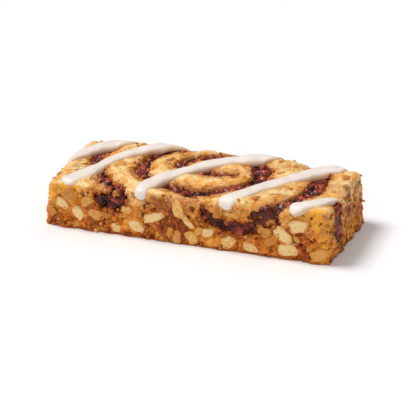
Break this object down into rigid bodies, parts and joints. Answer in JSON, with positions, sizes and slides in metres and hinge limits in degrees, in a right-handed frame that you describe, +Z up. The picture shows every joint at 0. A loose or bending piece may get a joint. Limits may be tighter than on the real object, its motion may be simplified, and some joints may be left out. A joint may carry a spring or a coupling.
{
  "type": "granola bar",
  "caption": "Soft-baked oat granola bar: a rectangular slab with a swirl of dark filling and diagonal lines of white icing, resting on its flat underside.",
  "frame": {"origin": "centre of the bounding box at the underside that the bar rests on", "axes": "+X along the bar, +Y towards the side the icing lines run up to, +Z up out of the iced top"},
  "size_m": [0.1116, 0.0414, 0.0226],
  "materials": {
    "dough": "soft-baked oat dough, matt and craggy, with rolled oat flakes and lines of white icing fused to it",
    "filling": "dark red-brown cinnamon filling, crumbly and glossy"
  },
  "bodies": {
    "root": {"bar": "dough", "swirl_middle": "filling", "swirl_right": "filling", "swirl_left": "filling", "swirl_end": "filling"}
  },
  "joints": []
}
